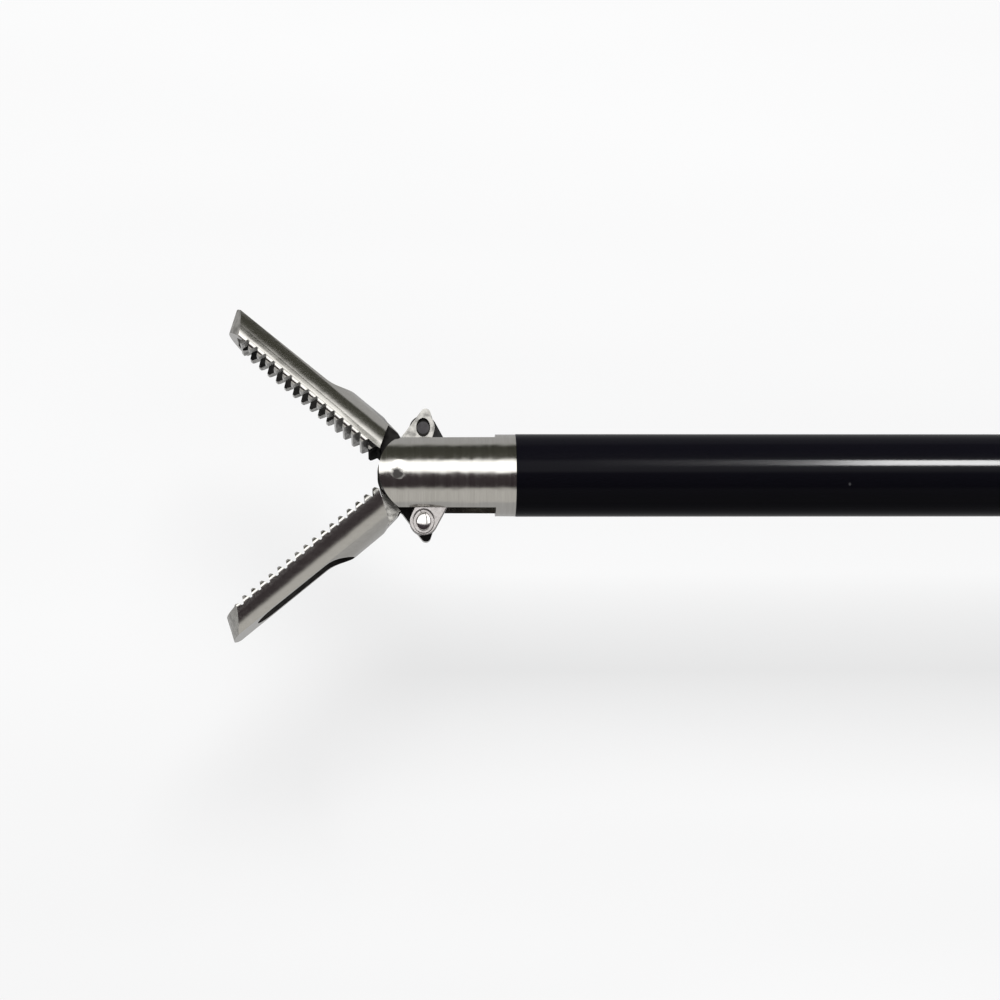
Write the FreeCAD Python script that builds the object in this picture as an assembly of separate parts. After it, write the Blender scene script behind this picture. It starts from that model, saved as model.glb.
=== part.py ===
import FreeCAD, Part
import math
import os
from FreeCAD import Vector

# Laparoscopic grasping forceps: two toothed, windowed jaws worked by crossed links, a 5 mm insulated
# shaft that turns in its handle, and a ring handle whose thumb lever pulls the rod.
# Sizes are in millimetres, angles in degrees. X runs along the shaft towards the handle,
# Y across the open jaws, and Z up from the side that the instrument lies on.
# The origin is on the shaft's axis, at the front face of the black insulation.
# The jaws are built closed and then opened to the rest pose.

# Shaft
shaft_radius = 2.5             # outside of the insulation
insulation_wall = 0.3
tube_wall = 0.3
working_length = 330.0         # tips of the closed jaws to the front of the knob
seat_gap = 0.01                # radial gap of pieces that are pressed or glued together
running_gap = 0.04             # radial gap of pieces that turn or slide on each other

# Clevis
collar_length = 1.2
collar_step = 0.02             # the clevis is this much slimmer than the insulation
clevis_taper = 0.03            # and slimmer still by this much at its nose
slot_width = 2.5
pivot_reach = 7.0              # jaw pivot ahead of the insulation
nose_setback = 1.27            # centre of the ears' round nose, behind the jaw pivot
pivot_pin_radius = 0.6
spigot_length = 7.0

# Jaws
jaw_open_angle = 40.0
jaw_reach = 13.42              # pivot to the nose, at the closing plane
jaw_radius = 2.3
jaw_centre = -0.18             # centre of the round section, just past the closing plane
neck_step = 0.32               # neck behind the closing plane
neck_run = 1.2                 # neck's reach into the full-width body
neck_body_share = 0.93         # neck's height in the body, as a share of the jaw's height
neck_base_share = 0.85         # and at the body's base
jaw_nose_radius = 3.5
jaw_nose_lean = 22.7           # the nose leans forward from the teeth to the back
base_reach = 1.62              # pivot to the full-width body, at the closing plane
base_slope = 0.4
hump_end = 4.7                 # the full half-round ends here
relief_start = 7.0             # the flat of the back starts here
relief_height = 1.50
relief_taper = 0.014           # the back comes down by this much for each millimetre
window_width = 2.5
window_start = 5.25
window_end = 12.2
shoulder_height = 1.87         # where the slanted base meets the hump's front

# Teeth
tooth_pitch = 0.67
tooth_tip = 0.17               # height of the crests above the closing plane
tooth_root = 0.24              # depth of the roots below it
crest_width = 0.14
root_width = 0.12
tooth_end_radius = 0.30        # rounding of the teeth's ends
rim_margin = 0.08              # last tooth to the nose's rim
first_tooth_lower = 1.87
lower_tooth_count = 17
nose_rim = 0.45                # wall left between the last groove and the nose
rim_drop = 0.015               # the rim stays this far short of the closing plane

# Linkage
eye_radius = 1.3               # boss of each jaw round the pivot pin
tang_reach = 3.3               # pivot pin to link rivet, and link rivet to rod pin
tang_open_angle = 63.6         # tang to shaft axis with the jaws open
tang_lobe_radius = 0.70
tang_apex_radius = 0.30
tang_apex_reach = 0.83         # apex centre beyond the rivet
tang_apex_offset = 0.25
link_end_radius = 0.84
link_root_radius = 0.95
layer_gap = 0.04               # side gap between the leaves in the slot
rivet_radius = 0.38
rivet_head_length = 0.58       # half sizes of the oval head
rivet_head_width = 0.42
rivet_head_height = 0.125
rivet_dish_gap = 0.05
rod_pin_radius = 0.40

# Pull rod
rod_radius = 1.0
rod_tab_radius = 0.85
rod_tab_overlap = 0.2          # tab's reach into the round rod
rod_shoulder_gap = 0.10        # links' end to the start of the round rod, at mid travel
bore_play = 0.2                # play round the folded links inside the collar
ball_radius = 2.5

# Knob and hub
knob_length = 15.0
knob_radius = 11.0
knob_nose_radius = 7.0
knob_nose_length = 4.0
knob_rim_radius = 1.5
flute_count = 8
flute_radius = 2.6
flute_depth = 1.1
hub_radius = 4.0
hub_inset = 4.0                # front of the hub behind the front of the knob
hub_flange_radius = 6.0
hub_flange_length = 2.0
tube_seat = 24.0               # length of bare tube held in the hub
set_screw_radius = 1.5
set_screw_depth = 0.4          # the screw's point in the hub
socket_depth = 1.6
socket_width = 1.65
rod_passage_radius = 1.4

# Seal at the back of the hub
seal_radius = 2.9
seal_length = 2.0
retainer_thread_length = 2.0
retainer_flange_radius = 3.7
retainer_flange_length = 0.9
hub_wall_behind_tube = 2.0
key_slot_width = 0.8
key_slot_depth = 0.5

# Rings that hold and seal the hub in the handle
clip_width = 0.9
clip_groove_radius = 3.4
clip_radius = 5.4
clip_opening = 4.6
clip_side_play = 0.1
clip_run_play = 0.3            # handle to ring
ring_groove_radius = 3.3
ring_thickness = 0.70
ring_groove_width = 1.0
ring_place = 12.7              # middle of the groove behind the front of the handle
ring_stretch = 0.005

# Handle
handle_gap = 0.4               # knob to handle
handle_end_radius = 5.5
bearing_length = 17.6
body_half_width = 8.0
body_top = 10.0
body_edge = 2.0                # rounding of the outer edges
roof_thickness = 5.0
lever_half_width = 3.5
lever_side_gap = 0.3
pocket_play = 0.6              # gland to the end of its pocket
cut_reach = 60.0               # the lever's slot is cut this far, past the housing on every side
stem_setback = 14.9            # axis of the finger loop's stem behind the front of the handle
cheek_radius = 11.5
loop_offset = (-24.5, -61.2)   # middle of the finger loop from the lever's pivot
loop_lean = 7.9
loop_inner_radius = 11.0
loop_straight = 20.0
bar_width = 5.0
bar_half_height = 4.5
stem_top_radius = 8.0
stem_foot_radius = 6.0
stem_half_height = 4.0

# Thumb lever
lever_travel = 20.0
lever_rest_lean = 28.0         # stem to the downward direction, with the jaws open
thumb_reach = 72.0
thumb_inner_radius = 12.0
lever_hub_radius = 6.0
lever_stem_radius = 4.5
fork_wall = 1.9
fork_rise = 2.6                # fork above the ball's centre
fork_clearance = 3.0           # gland to fork
ball_play = 0.4                # under the ball
slit_play = 0.2                # round the rod in the fork
lever_screw_radius = 2.0
screw_head_radius = 3.6
screw_head_sink = 1.6
screw_head_recess = 0.1        # heads below the cheeks
screw_head_gap = 0.1
screw_run_out = 0.6            # thread in the nut
driver_slot_width = 1.0
driver_slot_depth = 0.9
nut_slot_depth = 0.5

# Connector
post_radius = 2.0
post_length = 16.0
post_base_radius = 2.5
post_base_length = 3.0
post_tip_radius = 0.8
collar_radius = 4.5
collar_height = 6.0
collar_rim_radius = 1.1
post_back = 12.0               # post behind the front of the handle
strip_thickness = 0.3
strip_width = 2.4
strip_reach = 4.5
strip_side_gap = 0.2
strip_stand_off = 0.05         # strip to hub
strip_foot = 4.0               # strip behind the post's axis

# Worked out from the sizes above
tube_outer = shaft_radius - insulation_wall
tube_inner = tube_outer - tube_wall
clevis_radius = shaft_radius - collar_step
clevis_nose_radius = clevis_radius - clevis_taper
layer = (slot_width - 5 * layer_gap) / 4
inner_face = layer_gap / 2
middle_face = inner_face + layer
link_face = middle_face + layer_gap
outer_face = link_face + layer
pivot_x = -pivot_reach
tang_closed_angle = tang_open_angle - jaw_open_angle
rod_pin_open = 2 * tang_reach * math.cos(math.radians(tang_open_angle))
rod_pin_closed = 2 * tang_reach * math.cos(math.radians(tang_closed_angle))
stroke = rod_pin_closed - rod_pin_open
middle_angle = (tang_open_angle + tang_closed_angle) / 2
link_lag = 2 * tang_reach * math.cos(math.radians(middle_angle)) - (rod_pin_open + rod_pin_closed) / 2
rod_pin_x = pivot_x + rod_pin_open
jaw_top = jaw_centre + jaw_radius
jaw_tip = jaw_reach + relief_height * math.tan(math.radians(jaw_nose_lean))
knob_front = working_length - pivot_reach - jaw_tip
knob_back = knob_front + knob_length
hub_front = knob_front + hub_inset
tube_end = hub_front + tube_seat
handle_front = knob_back + handle_gap
bearing_end = handle_front + bearing_length
lever_arm = stroke / (2 * math.tan(math.radians(lever_travel / 2)))
clip_front = bearing_end + clip_run_play
clip_back = clip_front + clip_width + clip_side_play
seal_front = max(tube_end + hub_wall_behind_tube, clip_front)
seal_back = seal_front + seal_length
hub_back = seal_back + retainer_thread_length
fork_half = ball_radius + running_gap + fork_wall
retainer_back = hub_back + retainer_flange_length
ball_x = retainer_back + fork_clearance + fork_half
lever_x = ball_x + stroke / 2
lever_y = -lever_arm
post_x = handle_front + post_back
o_ring_x = handle_front + ring_place
set_screw_x = (hub_front + knob_back - hub_flange_length) / 2
post_seat = body_top - post_base_length
screw_shank_end = body_half_width - screw_head_sink + screw_run_out


def cylinder_x(radius, start, end):
    return Part.makeCylinder(radius, end - start, Vector(start, 0, 0), Vector(1, 0, 0))


def cylinder_y(radius, low, high, x=0.0):
    return Part.makeCylinder(radius, high - low, Vector(x, low, 0), Vector(0, 1, 0))


def cylinder_z(radius, low, high, x=0.0, y=0.0):
    return Part.makeCylinder(radius, high - low, Vector(x, y, low), Vector(0, 0, 1))


def block(x0, x1, y0, y1, z0, z1):
    return Part.makeBox(x1 - x0, y1 - y0, z1 - z0, Vector(x0, y0, z0))


def polar(radius, angle, x=0.0, y=0.0):
    turn = math.radians(angle)
    return (x + radius * math.cos(turn), y + radius * math.sin(turn))


def band_face(discs):
    """A flat face round discs (x, y, radius), taken anticlockwise, as a belt would go round them."""
    count = len(discs)
    normals = []
    for index in range(count):
        x0, y0, r0 = discs[index]
        x1, y1, r1 = discs[(index + 1) % count]
        along = math.atan2(y1 - y0, x1 - x0)
        normals.append(along - math.acos((r0 - r1) / math.hypot(x1 - x0, y1 - y0)))
    edges = []
    for index in range(count):
        x, y, r = discs[index]
        x1, y1, r1 = discs[(index + 1) % count]
        first = normals[index - 1]
        last = normals[index]
        while last < first:
            last += 2 * math.pi
        arc = [Vector(x + r * math.cos(a), y + r * math.sin(a), 0) for a in (first, (first + last) / 2, last)]
        if last - first > 1e-6:
            edges.append(Part.Arc(*arc).toShape())
        end = Vector(x1 + r1 * math.cos(last), y1 + r1 * math.sin(last), 0)
        edges.append(Part.LineSegment(arc[2], end).toShape())
    return Part.Face(Part.Wire(edges))


def plate(face, low, high):
    """A flat XY face made into a plate from one height to another."""
    shape = face.copy()
    shape.translate(Vector(0, 0, low))
    return shape.extrude(Vector(0, 0, high - low))


def polygon(points):
    return Part.Face(Part.makePolygon([Vector(*p) for p in points + points[:1]]))


def rounded(shape, radius, wanted):
    """Rounds the edges for which wanted(edge) is true."""
    edges = [edge for edge in shape.Edges if wanted(edge)]
    return shape.makeFillet(radius, edges)


def on_plate_face(low, high):
    """Tells the edges that lie in the flat faces of a plate."""
    def wanted(edge):
        box = edge.BoundBox
        return box.ZLength < 1e-6 and (abs(box.ZMin - low) < 1e-6 or abs(box.ZMin - high) < 1e-6)
    return wanted


# Jaws, in the frame of a closed upper jaw: pivot at the origin, tip towards -X, back towards +Y

def jaw_section():
    """The round bar cut flat at the tooth tips, its corners rounded, before its back and ends are shaped."""
    corner_y = tooth_end_radius - tooth_tip
    corner_z = math.sqrt((jaw_radius - tooth_end_radius) ** 2 - (corner_y - jaw_centre) ** 2)
    lean = math.atan2(corner_y - jaw_centre, corner_z)

    def corner(angle, side):
        return Vector(0, corner_y + tooth_end_radius * math.sin(angle),
                      side * (corner_z + tooth_end_radius * math.cos(angle)))

    half_turn = (lean - math.pi / 2) / 2
    low = [corner(-math.pi / 2, side) for side in (-1, 1)]
    bend = [corner(half_turn, side) for side in (-1, 1)]
    high = [corner(lean, side) for side in (-1, 1)]
    edges = [Part.LineSegment(low[0], low[1]).toShape(), Part.Arc(low[1], bend[1], high[1]).toShape(),
             Part.Arc(high[1], Vector(0, jaw_top, 0), high[0]).toShape(),
             Part.Arc(high[0], bend[0], low[0]).toShape()]
    return Part.Face(Part.Wire(edges)).extrude(Vector(-jaw_reach - 2 * jaw_radius, 0, 0))


def jaw_side():
    """The jaw's side view: slanted base, hump, smooth ramp down and the tapered flat of the back."""
    above = jaw_top + tooth_tip
    far = jaw_reach + jaw_radius
    far_height = relief_height - relief_taper * (far - relief_start)

    def at(reach, height):
        return Vector(-reach, height, -2 * jaw_radius)

    base_low = at(base_reach - base_slope * 2 * tooth_tip, -2 * tooth_tip)
    base_high = at(base_reach + base_slope * shoulder_height, shoulder_height)
    hump = at(base_reach + shoulder_height, above)
    ramp_top = at(hump_end, above)
    ramp_foot = at(relief_start, relief_height)
    ramp_third = (relief_start - hump_end) * 0.4
    ramp = Part.BezierCurve()
    ramp.setPoles([ramp_top, at(hump_end + ramp_third, jaw_top * 0.97),
                   at(relief_start - ramp_third, relief_height), ramp_foot])
    tip_high = at(far, far_height)
    tip_low = at(far, -2 * tooth_tip)
    lines = [(base_low, base_high), (base_high, hump), (hump, ramp_top)]
    edges = [Part.LineSegment(*pair).toShape() for pair in lines]
    edges.append(ramp.toShape())
    edges += [Part.LineSegment(*pair).toShape()
              for pair in ((ramp_foot, tip_high), (tip_high, tip_low), (tip_low, base_low))]
    return Part.Face(Part.Wire(edges)).extrude(Vector(0, 0, 4 * jaw_radius))


def nose_tool(inset):
    """Everything behind the jaw's round, leaning nose, less an inset all round it."""
    low = -jaw_radius
    lean = math.tan(math.radians(jaw_nose_lean))
    radius = jaw_nose_radius - inset
    middle = -(jaw_reach - jaw_nose_radius) - lean * low
    side = 0.97 * radius
    reach = math.sqrt(radius ** 2 - side ** 2)
    back = 2 * jaw_radius
    corners = [Vector(back, low, -side), Vector(middle - reach, low, -side), Vector(middle - reach, low, side),
               Vector(back, low, side)]
    edges = [Part.LineSegment(corners[0], corners[1]).toShape(),
             Part.Arc(corners[1], Vector(middle - radius, low, 0), corners[2]).toShape(),
             Part.LineSegment(corners[2], corners[3]).toShape(),
             Part.LineSegment(corners[3], corners[0]).toShape()]
    rise = 4 * jaw_radius
    return Part.Face(Part.Wire(edges)).extrude(Vector(-rise * lean, rise, 0))


def tooth_groove(reach):
    """One straight groove between two teeth, across the whole jaw."""
    half_root = root_width / 2
    half_mouth = (tooth_pitch - crest_width) / 2
    below = -2 * tooth_tip
    side = 2 * jaw_radius
    outline = [(-reach - half_mouth, below, -side), (-reach - half_mouth, -tooth_tip, -side),
               (-reach - half_root, tooth_root, -side), (-reach + half_root, tooth_root, -side),
               (-reach + half_mouth, -tooth_tip, -side), (-reach + half_mouth, below, -side)]
    return polygon(outline).extrude(Vector(0, 0, 2 * side))


def cut_teeth(body, first_tooth, count):
    """Cuts the rows of teeth, the relief at the base and the recess inside the nose's rim."""
    side = 2 * jaw_radius
    low = -2 * tooth_tip
    last_tooth = first_tooth + (count - 1) * tooth_pitch
    tools = [tooth_groove(first_tooth + (k + 0.5) * tooth_pitch) for k in range(count - 1)]
    tools.append(tooth_groove(first_tooth - 0.5 * tooth_pitch))
    tools.append(block(-first_tooth + 0.5 * tooth_pitch, 0, low, tooth_root, -side, side))
    tools.append(tooth_groove(last_tooth + 0.5 * tooth_pitch).common(nose_tool(nose_rim)))
    rim_start = last_tooth + 0.5 * crest_width
    flank = (tooth_pitch - crest_width - root_width) / 2 * (tooth_tip + rim_drop) / (tooth_tip + tooth_root)
    rim = [(-rim_start, -tooth_tip, -side), (-rim_start - flank, rim_drop, -side),
           (-jaw_tip - 1, rim_drop, -side), (-jaw_tip - 1, low, -side), (-rim_start, low, -side)]
    tools.append(polygon(rim).extrude(Vector(0, 0, 2 * side)))
    ends = block(-jaw_tip - 1, -relief_start, low, rim_drop, -side, side)
    tools.append(ends.cut(nose_tool(nose_rim + rim_margin)))
    return body.cut(tools[0].fuse(tools[1:]))


def window_tool():
    """The long hole through the jaw, with round ends."""
    radius = window_width / 2
    face = band_face([(-window_end + radius, 0, radius), (-window_start - radius, 0, radius)])
    tool = plate(face, -jaw_radius, 2 * jaw_radius)
    tool.rotate(Vector(0, 0, 0), Vector(1, 0, 0), -90)
    return tool


def rivet_place():
    """The link rivet's axis in the closed upper jaw's frame."""
    return polar(tang_reach, -tang_closed_angle)


def tang_face():
    """The leaf behind the pivot: eye, rivet lobe and the pointed apex beyond it."""
    x, y = rivet_place()
    turn = math.radians(-tang_closed_angle)
    apex_x = x + tang_apex_reach * math.cos(turn) + tang_apex_offset * math.sin(turn)
    apex_y = y + tang_apex_reach * math.sin(turn) - tang_apex_offset * math.cos(turn)
    return band_face([(0, 0, eye_radius), (apex_x, apex_y, tang_apex_radius), (x, y, tang_lobe_radius)])


def jaw_neck():
    """The thick web from the pivot's boss into the half-round body."""
    step = neck_step
    outline = [(0, 0, 0), (-eye_radius, step, 0), (-base_reach - neck_run, step, 0),
               (-base_reach - neck_run, neck_body_share * jaw_top, 0),
               (-base_reach, neck_base_share * jaw_top, 0),
               (-0.5 * eye_radius, 1.12 * eye_radius, 0), (0.15 * eye_radius, 0.985 * eye_radius, 0)]
    web = plate(polygon(outline), inner_face, outer_face)
    bar = cylinder_x(jaw_radius, -jaw_reach, eye_radius)
    bar.translate(Vector(0, jaw_centre, 0))
    return web.common(bar)


def oval_dish(length, width, low, high):
    """An upright oval plug, as wide in X and as long in Y as given by its half sizes."""
    oval = Part.Ellipse(Vector(0, 0, 0), length, width)
    face = Part.Face(Part.Wire([oval.toShape()]))
    face.rotate(Vector(0, 0, 0), Vector(0, 0, 1), 90)
    return plate(face, low, high)


def closed_jaw(first_tooth, tooth_count):
    """A closed upper jaw about its pivot, with its tang between the middle of the slot and the ear."""
    body = jaw_section().common(jaw_side()).common(nose_tool(0))
    body = cut_teeth(body, first_tooth, tooth_count)
    body = body.cut(window_tool())
    boss = cylinder_z(eye_radius, inner_face, outer_face)
    tang = plate(tang_face(), inner_face, middle_face)
    jaw = body.fuse([jaw_neck(), boss, tang])
    x, y = rivet_place()
    hole = cylinder_z(pivot_pin_radius + running_gap, -jaw_radius, jaw_radius)
    rivet_hole = cylinder_z(rivet_radius, -jaw_radius, jaw_radius, x, y)
    dish = oval_dish(rivet_head_length, rivet_head_width, 0, inner_face + rivet_head_height)
    dish.rotate(Vector(0, 0, 0), Vector(0, 0, 1), jaw_open_angle)
    dish.translate(Vector(x, y, 0))
    return jaw.cut([hole, rivet_hole, dish]).removeSplitter()


def link_rivet():
    """A rivet in the closed upper jaw's tang, with its oval domed head in the link's dish."""
    x, y = rivet_place()
    neck = outer_face + layer_gap / 2 - rivet_head_height
    shank = cylinder_z(rivet_radius, inner_face + rivet_head_height, neck)
    dome = Part.makeSphere(1.0)
    stretch = FreeCAD.Matrix()
    stretch.scale(Vector(rivet_head_width, rivet_head_length, rivet_head_height))
    dome = dome.transformGeometry(stretch)
    dome = dome.common(block(-1, 1, -1, 1, 0, 1))
    dome.translate(Vector(0, 0, neck))
    rivet = shank.fuse(dome)
    rivet.rotate(Vector(0, 0, 0), Vector(0, 0, 1), jaw_open_angle)
    rivet.translate(Vector(x, y, 0))
    return rivet


def open_lower_link():
    """The link under the axis, in the outer leaf, placed with the jaws open about the jaw pivot."""
    x, y = polar(tang_reach, -tang_open_angle)
    rod_x = rod_pin_open
    slack_turn = math.radians(middle_angle - tang_open_angle)
    slack_x = rod_x - link_lag / 2 * math.cos(slack_turn)
    slack_y = -link_lag / 2 * math.sin(slack_turn)
    face = band_face([(rod_x, 0, link_root_radius), (x, y, link_end_radius)])
    link = plate(face, link_face, outer_face)
    slack_hole = cylinder_z(rod_pin_radius + link_lag / 2 + running_gap, 0, slot_width, slack_x, slack_y)
    rivet_hole = cylinder_z(rivet_radius + running_gap, 0, slot_width, x, y)
    gap = rivet_dish_gap
    dish = oval_dish(rivet_head_length + 3 * gap, rivet_head_length + gap,
                     outer_face - rivet_head_height, slot_width)
    dish.translate(Vector(x, y, 0))
    return link.cut([slack_hole, rivet_hole, dish])


def opened_upper(shape):
    """Puts a piece of the closed upper jaw at the open rest pose."""
    shape.rotate(Vector(0, 0, 0), Vector(0, 0, 1), -jaw_open_angle)
    shape.translate(Vector(pivot_x, 0, 0))
    return shape


def turned_over(shape):
    """Half a turn about the shaft's axis: the upper jaw's pieces become the lower jaw's."""
    shape.rotate(Vector(0, 0, 0), Vector(1, 0, 0), 180)
    return shape


def jaw_upper():
    return opened_upper(closed_jaw(first_tooth_lower + tooth_pitch / 2, lower_tooth_count - 1))


def jaw_lower():
    return turned_over(opened_upper(closed_jaw(first_tooth_lower, lower_tooth_count)))


def link_rivet_lower():
    return opened_upper(link_rivet())


def link_rivet_upper():
    return turned_over(opened_upper(link_rivet()))


def link_lower():
    link = open_lower_link()
    link.translate(Vector(pivot_x, 0, 0))
    return link


def link_upper():
    return turned_over(link_lower())


# Shaft

def clevis_outside():
    """The slightly tapered bar that the clevis is turned from, nose end first."""
    start = pivot_x - shaft_radius
    return Part.makeCone(clevis_nose_radius, clevis_radius, -start, Vector(start, 0, 0), Vector(1, 0, 0))


def clevis():
    """Two ears with a round nose, the collar behind them and the bored spigot in the tube."""
    nose_x = pivot_x + nose_setback
    low = -2 * shaft_radius
    plan = band_face([(nose_x, 0, clevis_radius), (spigot_length, 0, clevis_radius)])
    ears = clevis_outside().common(plate(plan, low, -low))
    body = ears.fuse(cylinder_x(tube_inner - seat_gap, -collar_length / 2, spigot_length))
    slot = block(nose_x + low, -collar_length, low, -low, -slot_width / 2, slot_width / 2)
    fold_x = rod_pin_x + stroke
    end_radius = math.hypot(link_root_radius, outer_face) + bore_play
    front_bore = cylinder_x(end_radius, -2 * collar_length, fold_x + link_root_radius + bore_play)
    guide = cylinder_x(rod_radius + running_gap, -2 * collar_length, spigot_length + 1)
    pin_hole = cylinder_z(pivot_pin_radius, low, -low, pivot_x)
    return body.cut([slot, front_bore, guide, pin_hole]).removeSplitter()


def jaw_pivot_pin():
    """The pin of both jaws, its ends ground flush with the round ears."""
    pin = cylinder_z(pivot_pin_radius, -shaft_radius, shaft_radius, pivot_x)
    return pin.common(clevis_outside())


def inner_tube():
    return cylinder_x(tube_outer - seat_gap, 0, tube_end).cut(cylinder_x(tube_inner, -1, tube_end + 1))


def insulation_sleeve():
    """The black tubing on the bare tube, from the clevis's collar up to the knob."""
    return cylinder_x(shaft_radius, 0, knob_front).cut(cylinder_x(tube_outer, -1, knob_front + 1))


def turned(points):
    """A turned solid from its half profile, points (x, radius) in order."""
    face = polygon([(x, radius, 0) for x, radius in points])
    return face.revolve(Vector(0, 0, 0), Vector(1, 0, 0), 360)


def rotation_knob():
    """The finger wheel fixed on the hub, with a domed front and flutes for the finger tips."""
    shoulder = knob_front + knob_nose_length
    start = Vector(knob_front, knob_nose_radius, 0)
    crown = Vector(knob_front + 0.3 * knob_nose_length, 0.45 * knob_nose_radius + 0.55 * knob_radius, 0)
    edges = [Part.LineSegment(Vector(knob_front, 0, 0), start).toShape(),
             Part.Arc(start, crown, Vector(shoulder, knob_radius, 0)).toShape(),
             Part.LineSegment(Vector(shoulder, knob_radius, 0), Vector(knob_back, knob_radius, 0)).toShape(),
             Part.LineSegment(Vector(knob_back, knob_radius, 0), Vector(knob_back, 0, 0)).toShape(),
             Part.LineSegment(Vector(knob_back, 0, 0), Vector(knob_front, 0, 0)).toShape()]
    knob = Part.Face(Part.Wire(edges)).revolve(Vector(0, 0, 0), Vector(1, 0, 0), 360)
    knob = rounded(knob, knob_rim_radius, lambda edge: abs(edge.BoundBox.XMin - knob_back) < 1e-6
                   and edge.BoundBox.XLength < 1e-6 and edge.Length > 2)
    tools = []
    for index in range(flute_count):
        y, z = polar(knob_radius + flute_radius - flute_depth, 360 / flute_count * (index + 0.5))
        start = Vector(knob_front - 1, y, z)
        tools.append(Part.makeCylinder(flute_radius, knob_length + 2, start, Vector(1, 0, 0)))
    tools.append(cylinder_x(tube_outer + seat_gap, knob_front - 1, hub_front + 1))
    tools.append(cylinder_x(hub_radius + seat_gap, hub_front, knob_back + 1))
    tools.append(cylinder_x(hub_flange_radius + seat_gap, knob_back - hub_flange_length, knob_back + 1))
    tools.append(cylinder_y(set_screw_radius + seat_gap, 0, 2 * knob_radius, set_screw_x))
    return knob.cut(tools)


def knob_set_screw():
    """The hexagon-socket screw that holds the knob on the hub."""
    top = knob_radius - 2 * flute_depth
    screw = cylinder_y(set_screw_radius, hub_radius - set_screw_depth, top, set_screw_x)
    corners = [polar(socket_width / math.sqrt(3), 60 * k + 30) for k in range(6)]
    socket = polygon([(set_screw_x + x, top - socket_depth, z) for x, z in corners])
    return screw.cut(socket.extrude(Vector(0, 2 * socket_depth, 0)))


def shaft_hub():
    """The turned bush on the tube's end, with the grooves of its two rings and the seal's seat."""
    flange_back = knob_back
    ring_front = o_ring_x - ring_groove_width / 2
    ring_back = ring_front + ring_groove_width
    hub = turned([(hub_front, 0), (hub_front, hub_radius), (flange_back - hub_flange_length, hub_radius),
                  (flange_back - hub_flange_length, hub_flange_radius), (flange_back, hub_flange_radius),
                  (flange_back, hub_radius), (ring_front, hub_radius), (ring_front, ring_groove_radius),
                  (ring_back, ring_groove_radius), (ring_back, hub_radius), (clip_front, hub_radius),
                  (clip_front, clip_groove_radius), (clip_back, clip_groove_radius), (clip_back, hub_radius),
                  (hub_back, hub_radius), (hub_back, 0)])
    tools = [cylinder_x(tube_outer, hub_front - 1, tube_end),
             cylinder_x(rod_passage_radius, hub_front, hub_back + 1),
             cylinder_x(seal_radius, seal_front, hub_back + 1),
             cylinder_y(set_screw_radius + seat_gap, hub_radius - set_screw_depth, 2 * hub_radius, set_screw_x)]
    return hub.cut(tools)


def friction_o_ring():
    radius = ring_thickness / 2
    middle = ring_groove_radius + radius + ring_stretch
    return Part.makeTorus(middle, radius, Vector(o_ring_x, 0, 0), Vector(1, 0, 0))


def hub_retaining_ring():
    """The open spring ring behind the bearing that keeps the shaft in the handle."""
    front = clip_front + clip_side_play / 2
    ring = cylinder_x(clip_radius, front, front + clip_width)
    ring = ring.cut(cylinder_x(clip_groove_radius + seat_gap, front - 1, front + clip_width + 1))
    return ring.cut(block(front - 1, front + 2, -2 * clip_radius, 0, -clip_opening / 2, clip_opening / 2))


def rod_seal():
    seal = cylinder_x(seal_radius - seat_gap, seal_front, seal_back)
    return seal.cut(cylinder_x(rod_radius + running_gap, seal_front - 1, seal_back + 1))


def seal_retainer():
    """The screwed gland behind the seal, with two slots for its key."""
    body = turned([(seal_back, 0), (seal_back, seal_radius - seat_gap), (hub_back, seal_radius - seat_gap),
                   (hub_back, retainer_flange_radius), (retainer_back, retainer_flange_radius), (retainer_back, 0)])
    half = key_slot_width / 2
    slots = block(retainer_back - key_slot_depth, retainer_back + 1, -2 * hub_radius, 2 * hub_radius, -half, half)
    return body.cut([cylinder_x(rod_passage_radius, seal_back - 1, retainer_back + 1), slots])


# Pull rod

def pull_rod():
    """The round rod with the flat tab at its front for the links' pin."""
    shoulder = rod_pin_x + link_root_radius + link_lag + rod_shoulder_gap
    rod_end = ball_x + ball_radius / 2
    tab = band_face([(rod_pin_x, 0, rod_tab_radius), (shoulder + rod_radius, 0, rod_tab_radius)])
    tab = plate(tab, -middle_face, middle_face)
    tab = tab.common(block(rod_pin_x - 2, shoulder + rod_tab_overlap, -2, 2, -2, 2))
    rod = tab.fuse(cylinder_x(rod_radius, shoulder, rod_end))
    return rod.cut(cylinder_z(rod_pin_radius, -slot_width, slot_width, rod_pin_x)).removeSplitter()


def rod_pin():
    return cylinder_z(rod_pin_radius, -outer_face, outer_face, rod_pin_x)


def rod_ball():
    ball = Part.makeSphere(ball_radius, Vector(ball_x, 0, 0))
    return ball.cut(cylinder_x(rod_radius, ball_x - 2 * ball_radius, ball_x + ball_radius / 2))


# Handle

def bar_section(x, radial, half_height):
    """The rounded section of a ring's bar, upright in the XZ plane at a distance along X."""
    oval = Part.Ellipse(Vector(0, 0, 0), half_height, radial)
    face = Part.Face(Part.Wire([oval.toShape()]))
    face.rotate(Vector(0, 0, 0), Vector(1, 0, 0), 90)
    face.rotate(Vector(0, 0, 0), Vector(0, 1, 0), 90)
    face.translate(Vector(x, 0, 0))
    return face


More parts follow.
